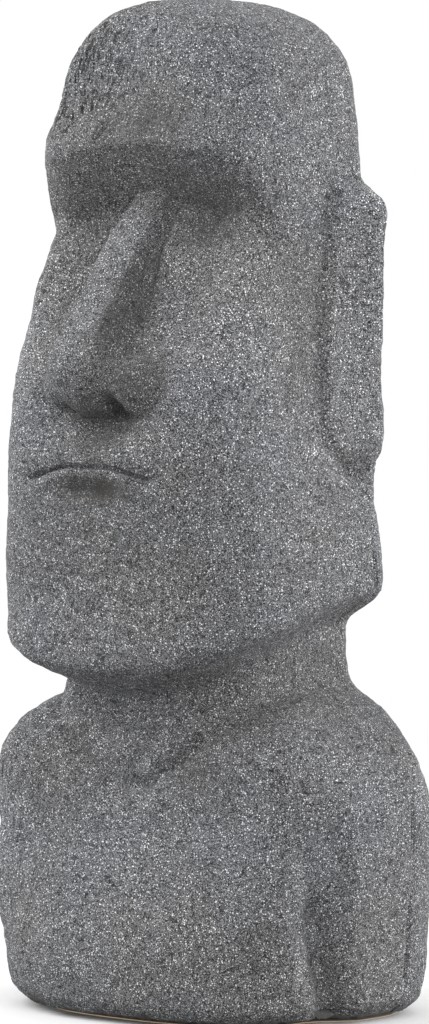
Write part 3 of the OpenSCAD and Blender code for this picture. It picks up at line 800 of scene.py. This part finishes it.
def wood_grain_group():
    """Growth rings cut lengthways along X, and the pores between them."""
    group = bpy.data.node_groups.new("wood_grain", "ShaderNodeTree")
    group.interface.new_socket("Vector", in_out="INPUT", socket_type="NodeSocketVector")
    group.interface.new_socket("Ring Scale", in_out="INPUT", socket_type="NodeSocketFloat")
    group.interface.new_socket("Late Wood", in_out="OUTPUT", socket_type="NodeSocketFloat")
    group.interface.new_socket("Pores", in_out="OUTPUT", socket_type="NodeSocketFloat")
    into = group.nodes.new("NodeGroupInput")
    slow = node(group, "Mapping", {0: into.outputs[0], 3: (0.08, 1, 1)}).outputs[0]
    bend = node(group, "TexNoise", {"Vector": slow, "Scale": 26, "Detail": 2}).outputs["Color"]
    bent = node(group, "VectorMath", {0: bend, "Scale": 0.02}, operation="SCALE").outputs[0]
    moved = node(group, "VectorMath", {0: slow, 1: bent}, operation="ADD").outputs[0]
    scaled = node(
        group, "VectorMath", {0: moved, "Scale": into.outputs[1]}, operation="SCALE").outputs[0]
    rings = node(group, "TexWave", {
        "Vector": scaled, "Scale": 1.0, "Distortion": 2.2, "Detail": 2.0}, wave_type="RINGS",
        rings_direction="X", wave_profile="SAW").outputs["Fac"]
    fine = node(group, "Mapping", {0: into.outputs[0], 3: (0.03, 1, 1)}).outputs[0]
    pores = noisy(group, fine, 2200, 1)
    out = group.nodes.new("NodeGroupOutput")
    group.links.new(between(group, rings, 0.35, 1.0), out.inputs[0])
    group.links.new(between(group, pores, 0.58, 0.72), out.inputs[1])
    return group


wood_grain = wood_grain_group()


def pine(name, turn):
    """Sawn pine with its grain along a batten, saw marks across it and a few smears of resin."""
    material, tree, shader, place = new_material(name, Specular_IOR_Level=0.35)
    along = node(tree, "Mapping", {0: place, 1: (0.02, 0.05, 0.04), 2: (0.06, 0.04, turn)}).outputs[0]
    grain = node(tree, "Group", {"Vector": along, "Ring Scale": 150}, node_tree=wood_grain)
    smear = noisy(tree, place, 34, 3)
    saw = node(tree, "TexWave", {"Vector": along, "Scale": 190, "Distortion": 1.5}, bands_direction="X")
    wood = tinted(tree, grain.outputs[0], (0.56, 0.38, 0.19, 1), (0.36, 0.19, 0.075, 1))
    wood = tinted(tree, times(tree, grain.outputs[1], 0.35), wood, (0.20, 0.11, 0.05, 1))
    wet = between(tree, smear, 0.58, 0.68)
    wood = tinted(tree, times(tree, wet, 0.6), wood, (0.21, 0.12, 0.05, 1))
    raised = sums(tree, "ADD", saw.outputs["Fac"], times(tree, grain.outputs[0], 0.7))
    dress(tree, shader, wood, between(tree, wet, 0, 1, 0.8, 0.3), raised, 0.4, 0.0005)
    return material


pine_across = pine("pine_across", 0)
pine_fore_aft = pine("pine_fore_aft", math.pi / 2)
for side, wood in (
        ("front", pine_across), ("rear", pine_across),
        ("left", pine_fore_aft), ("right", pine_fore_aft)):
    batten = finished(eased_copy(side + "_batten", BATTEN_EDGE), side + "_pine", wood)
    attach(batten, "figure")
    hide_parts(side + "_batten")

# Base board: birch ply, sawn to the inside of the foot and pushed up against the battens, so that
# the figure stands on it. Its underside is scuffed by the ground and its edge is sealed with dark
# resin, through which the plies hardly show.
PLY_T = 0.012
PLIES = 7
board = eased_copy("base_board", 0.0006)

base_ply, tree, shader, place = new_material("base_ply", Specular_IOR_Level=0.4)
face_grain = node(tree, "Mapping", {0: place, 1: (0.0, 0.03, 0.06), 2: (0.03, 0.02, 0.0)}).outputs[0]
grain = node(tree, "Group", {"Vector": face_grain, "Ring Scale": 90}, node_tree=wood_grain)
veneer = tinted(tree, grain.outputs[0], (0.60, 0.44, 0.26, 1), (0.47, 0.31, 0.16, 1))
veneer = tinted(tree, times(tree, grain.outputs[1], 0.3), veneer, (0.28, 0.17, 0.08, 1))
height_up = node(tree, "SeparateXYZ", {0: place}).outputs["Z"]
ply_step = sums(tree, "FRACT", times(tree, height_up, PLIES / PLY_T / 2), 0)
ply_tone = sums(tree, "GREATER_THAN", ply_step, 0.5)
plies = tinted(tree, ply_tone, (0.105, 0.090, 0.075, 1), (0.055, 0.045, 0.038, 1))
facing = node(tree, "SeparateXYZ", {0: node(tree, "NewGeometry").outputs["Normal"]}).outputs["Z"]
on_edge = sums(tree, "LESS_THAN", sums(tree, "ABSOLUTE", facing, 0), 0.5)
board_colour = tinted(tree, on_edge, veneer, plies)
scuff = noisy(tree, place, 60, 5, Roughness=0.7)
stain = noisy(tree, place, 9, 3)
stained = between(tree, stain, 0.48, 0.72, 0, 0.55)
board_colour = tinted(tree, stained, board_colour, (0.20, 0.14, 0.09, 1))
scraped = between(tree, scuff, 0.58, 0.72, 0, 0.6)
board_colour = tinted(tree, scraped, board_colour, (0.33, 0.29, 0.23, 1))
raised = sums(tree, "ADD", scuff, times(tree, grain.outputs[1], -0.5))
dress(tree, shader, board_colour, between(tree, scuff, 0.3, 0.7, 0.55, 0.85), raised, 0.35, 0.0006)

board = finished(board, "base_board_ply", base_ply)
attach(board, "figure")
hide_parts("base_board")

# Base screws: eight countersunk steel wood screws, two up into each batten, their cross-slotted
# heads just below the face of the ply. The bright zinc is rubbed dull where the driver turned them.
THREAD_PITCH, THREAD_STEPS = 0.0022, 12
THREAD_LOW, THREAD_TURNS = 0.0135, 8
ROOT_R, CREST_R, RIDGE_HALF_H = 0.00185, 0.0026, 0.0006
SCREW_PLACES = [
    (x * side, y) for x, y in ((0.038, -0.057), (0.038, 0.095), (0.117, 0.062), (0.117, 0.038))
    for side in (1, -1)]
screws = eased_copy("base_screws", 0.00018)
for x, y in SCREW_PLACES:
    ridge = [
        screws.verts.new((x + ROOT_R, y, THREAD_LOW - RIDGE_HALF_H)),
        screws.verts.new((x + CREST_R, y, THREAD_LOW)),
        screws.verts.new((x + ROOT_R, y, THREAD_LOW + RIDGE_HALF_H))]
    outline = [screws.edges.new((ridge[i], ridge[(i + 1) % 3])) for i in range(3)]
    screws.faces.new(list(reversed(ridge)))
    thread = bmesh.ops.spin(
        screws, geom=ridge + outline, cent=(x, y, 0), axis=(0, 0, 1),
        dvec=(0, 0, THREAD_PITCH / THREAD_STEPS), angle=2 * math.pi * THREAD_TURNS,
        steps=THREAD_STEPS * THREAD_TURNS)
    last = [v for v in thread["geom_last"] if isinstance(v, bmesh.types.BMVert)]
    screws.faces.new(last)
bmesh.ops.recalc_face_normals(screws, faces=screws.faces)


def scuffs_group():
    """Fine crossed rub marks and a patchy film, for hard pieces that tools and hands have touched."""
    group = bpy.data.node_groups.new("scuffs", "ShaderNodeTree")
    group.interface.new_socket("Vector", in_out="INPUT", socket_type="NodeSocketVector")
    group.interface.new_socket("Scratches", in_out="OUTPUT", socket_type="NodeSocketFloat")
    group.interface.new_socket("Film", in_out="OUTPUT", socket_type="NodeSocketFloat")
    into = group.nodes.new("NodeGroupInput")
    lines = None
    for turn in (0.4, 1.9):
        drawn = node(group, "Mapping", {0: into.outputs[0], 2: (0, 0, turn), 3: (0.05, 1, 1)})
        wave = noisy(group, drawn.outputs[0], 900, 1)
        mask = between(group, wave, 0.62, 0.70)
        lines = mask if lines is None else most(group, lines, mask)
    film = noisy(group, into.outputs[0], 120, 4)
    out = group.nodes.new("NodeGroupOutput")
    group.links.new(lines, out.inputs[0])
    group.links.new(between(group, film, 0.35, 0.68), out.inputs[1])
    return group


scuffs = scuffs_group()
screw_steel, tree, shader, place = new_material("screw_steel", Metallic=1.0)
worn = node(tree, "Group", {"Vector": place}, node_tree=scuffs)
zinc = tinted(tree, worn.outputs[1], (0.56, 0.57, 0.56, 1), (0.40, 0.38, 0.33, 1))
zinc = tinted(tree, times(tree, worn.outputs[0], 0.5), zinc, (0.70, 0.70, 0.70, 1))
dress(tree, shader, zinc, between(tree, worn.outputs[1], 0, 1, 0.28, 0.5), worn.outputs[0], 0.15, 0.0002)

screws = finished(screws, "base_screws_steel", screw_steel)
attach(screws, "figure")
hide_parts("base_screws")

# Filler collar: a flanged bush of black moulded plastic, pushed down into the hole in the board from
# inside until its flange stops it. Sand goes in through it, and its lower end has a recess for the
# plug's rim.
FILLER_Y = 0.018
ROUND_STEPS = 96


def turned(outline):
    """A ring or disc turned from an outline of (radius, height) in millimetres about the filler."""
    made = bmesh.new()
    points = [made.verts.new((r * MM, FILLER_Y, z * MM)) for r, z in outline]
    line = [made.edges.new(pair) for pair in zip(points, points[1:])]
    if outline[0][0] > 0:
        line.append(made.edges.new((points[-1], points[0])))
    bmesh.ops.spin(
        made, geom=points + line, cent=(0, FILLER_Y, 0), axis=(0, 0, 1), angle=2 * math.pi,
        steps=ROUND_STEPS, use_merge=True)
    bmesh.ops.remove_doubles(made, verts=made.verts, dist=SAME_POINT)
    bmesh.ops.recalc_face_normals(made, faces=made.faces)
    return made


collar = turned((
    (24.2, 0.4), (27, 0.4), (27, 12), (35, 12), (35, 16), (27, 16), (27, 20), (21, 20), (21, 4.5),
    (24.2, 4.5)))
ease_edges(collar, 0.0005)

collar_plastic, tree, shader, place = new_material("collar_plastic", Specular_IOR_Level=0.5)
worn = node(tree, "Group", {"Vector": place}, node_tree=scuffs)
spark = noisy(tree, place, 2600, 1)
black = tinted(tree, worn.outputs[1], (0.014, 0.014, 0.015, 1), (0.030, 0.029, 0.028, 1))
black = tinted(tree, times(tree, worn.outputs[0], 0.35), black, (0.11, 0.11, 0.11, 1))
dress(tree, shader, black, between(tree, worn.outputs[1], 0, 1, 0.38, 0.6), spark, 0.25, 0.0002)

collar = finished(collar, "filler_collar_bush", collar_plastic)
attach(collar, "figure")
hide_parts("filler_collar")

# Filler plug: a dark grey rubber stopper pushed up into the collar from below. Three ribs grip the
# bore, the rim stops it in the collar's recess, and a bar across the hollow of its underside gives
# a finger hold to pull it out by.
BAR_SIZE, BAR_Z, BAR_EDGE = (0.0288, 0.007, 0.0076), 0.0045, 0.0016
plug = turned((
    (0, 8), (14, 8), (14, 0.6), (23.8, 0.6), (23.8, 4.2), (20.5, 4.2), (20.5, 5.6), (20.93, 6.2),
    (20.93, 7.6), (20.5, 8.2), (20.5, 10.6), (20.93, 11.2), (20.93, 12.6), (20.5, 13.2), (20.5, 15.6),
    (20.93, 16.2), (20.93, 17.6), (20.5, 18.6), (20.1, 19.5), (17.93, 19.5), (17.93, 11), (0, 11)))
ease_edges(plug, 0.0006, 50)
bar = bmesh.ops.create_cube(plug, size=1)["verts"]
bmesh.ops.scale(plug, verts=bar, vec=BAR_SIZE)
bmesh.ops.translate(plug, verts=bar, vec=(0, FILLER_Y, BAR_Z))
long_edges = [
    e for e in {e for v in bar for e in v.link_edges} if abs(e.verts[0].co.x - e.verts[1].co.x) > 0.02]
bmesh.ops.bevel(
    plug, geom=long_edges, offset=BAR_EDGE, affect="EDGES", segments=4, profile=0.5, material=-1)

plug_rubber, tree, shader, place = new_material("plug_rubber", Specular_IOR_Level=0.35)
worn = node(tree, "Group", {"Vector": place}, node_tree=scuffs)
bloom = noisy(tree, place, 75, 5, Roughness=0.65)
rubber = tinted(tree, worn.outputs[1], (0.035, 0.035, 0.036, 1), (0.060, 0.059, 0.057, 1))
rubber = tinted(tree, between(tree, bloom, 0.52, 0.74, 0, 0.6), rubber, (0.17, 0.16, 0.14, 1))
worn_bloom = sums(tree, "ADD", bloom, times(tree, worn.outputs[0], 0.3))
dress(tree, shader, rubber, between(tree, bloom, 0.3, 0.7, 0.55, 0.9), worn_bloom, 0.3, 0.0004)

plug = finished(plug, "filler_plug_rubber", plug_rubber)
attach(plug, "plug")
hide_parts("filler_plug")

# The setting: a pale studio floor, clear from below so that the base can be looked at, under an even
# dome of light that is white to the camera, with weak soft boxes round the figure.
FLOOR_GAP, FLOOR_R, FADE_FROM, FADE_TO = 0.0005, 6, 0.20, 0.42
scene = bpy.context.scene
scene.view_settings.view_transform = "Standard"


def camera_sees(tree):
    """1 for what the camera, a reflection or a clear piece looks at, and 0 for bounced light."""
    path = node(tree, "LightPath")
    kinds = ("Is Camera Ray", "Is Glossy Ray", "Is Transmission Ray")
    return most(tree, *(path.outputs[kind] for kind in kinds))


sheet = bmesh.new()
bmesh.ops.create_circle(sheet, cap_ends=True, radius=FLOOR_R, segments=96)
bmesh.ops.translate(sheet, verts=sheet.verts, vec=(0, 0, -FLOOR_GAP))
floor = placed(sheet, "studio_floor")
floor_paint, tree, shader, place = new_material("studio_floor", Roughness=0.9, Specular_IOR_Level=0.0)
seen = camera_sees(tree)
tree.links.new(tinted(tree, seen, grey(0.27), grey(0.90)), shader.inputs["Base Color"])
away = node(tree, "VectorMath", {0: place}, operation="LENGTH").outputs["Value"]
glow = node(tree, "Emission", {"Color": grey(1.0), "Strength": 1.0})
share = times(tree, between(tree, away, FADE_FROM, FADE_TO), seen)
mixed = node(tree, "MixShader", {0: share, 1: shader.outputs[0], 2: glow.outputs[0]})
touching = sums(tree, "LESS_THAN", node(tree, "LightPath").outputs["Ray Length"], 3 * FLOOR_GAP)
clear = most(tree, node(tree, "NewGeometry").outputs["Backfacing"], touching)
nothing = node(tree, "BsdfTransparent")
mixed = node(tree, "MixShader", {0: clear, 1: mixed.outputs[0], 2: nothing.outputs[0]})
tree.links.new(mixed.outputs[0], tree.nodes["Material Output"].inputs["Surface"])
floor.data.materials.append(floor_paint)

world = bpy.data.worlds.new("studio")
scene.world = world
world.use_nodes = True
tree = world.node_tree
sky = tinted(tree, camera_sees(tree), grey(0.87), grey(1.0))
tree.links.new(sky, tree.nodes["Background"].inputs["Color"])

BOX_SIZE, BOX_AWAY, BOX_AIM = 1.4, 2.3, Vector((0, 0, 0.37))


def soft_box(name, azimuth, elevation, power):
    """A square soft box that looks at the middle of the figure, at angles in degrees."""
    light = bpy.data.lights.new(name, "AREA")
    light.size = BOX_SIZE
    light.energy = power
    box = bpy.data.objects.new(name, light)
    turn, up = math.radians(azimuth), math.radians(elevation)
    way = Vector((math.sin(turn) * math.cos(up), -math.cos(turn) * math.cos(up), math.sin(up)))
    box.location = BOX_AIM + way * BOX_AWAY
    box.rotation_euler = way.to_track_quat("Z", "Y").to_euler()
    scene.collection.objects.link(box)


soft_box("left_box", -45, 46, 25)
soft_box("far_left_box", -80, 6, 27)
soft_box("right_box", 143, 9, 36)
soft_box("fill_box", 62, 12, 15)

# The camera: 40 degrees round from the front and a little above the middle of the figure.
IMAGE_H = 1024
AZIMUTH, ELEVATION, DISTANCE, FOCAL_PX = math.radians(40), math.radians(1.8), 3.4, 4780
TARGET = Vector((0, 0.052, 0.355))
RIGHT_PX, UP_PX = 23, 9
back = Vector((
    math.sin(AZIMUTH) * math.cos(ELEVATION), -math.cos(AZIMUTH) * math.cos(ELEVATION),
    math.sin(ELEVATION)))
lens = bpy.data.cameras.new("camera")
lens.sensor_fit = "VERTICAL"
lens.sensor_height = 36
lens.lens = FOCAL_PX / IMAGE_H * lens.sensor_height
lens.shift_x = -RIGHT_PX / IMAGE_H
lens.shift_y = -UP_PX / IMAGE_H
camera = bpy.data.objects.new("camera", lens)
camera.location = TARGET + back * DISTANCE
camera.rotation_euler = (-back).to_track_quat("-Z", "Y").to_euler()
scene.collection.objects.link(camera)
scene.camera = camera
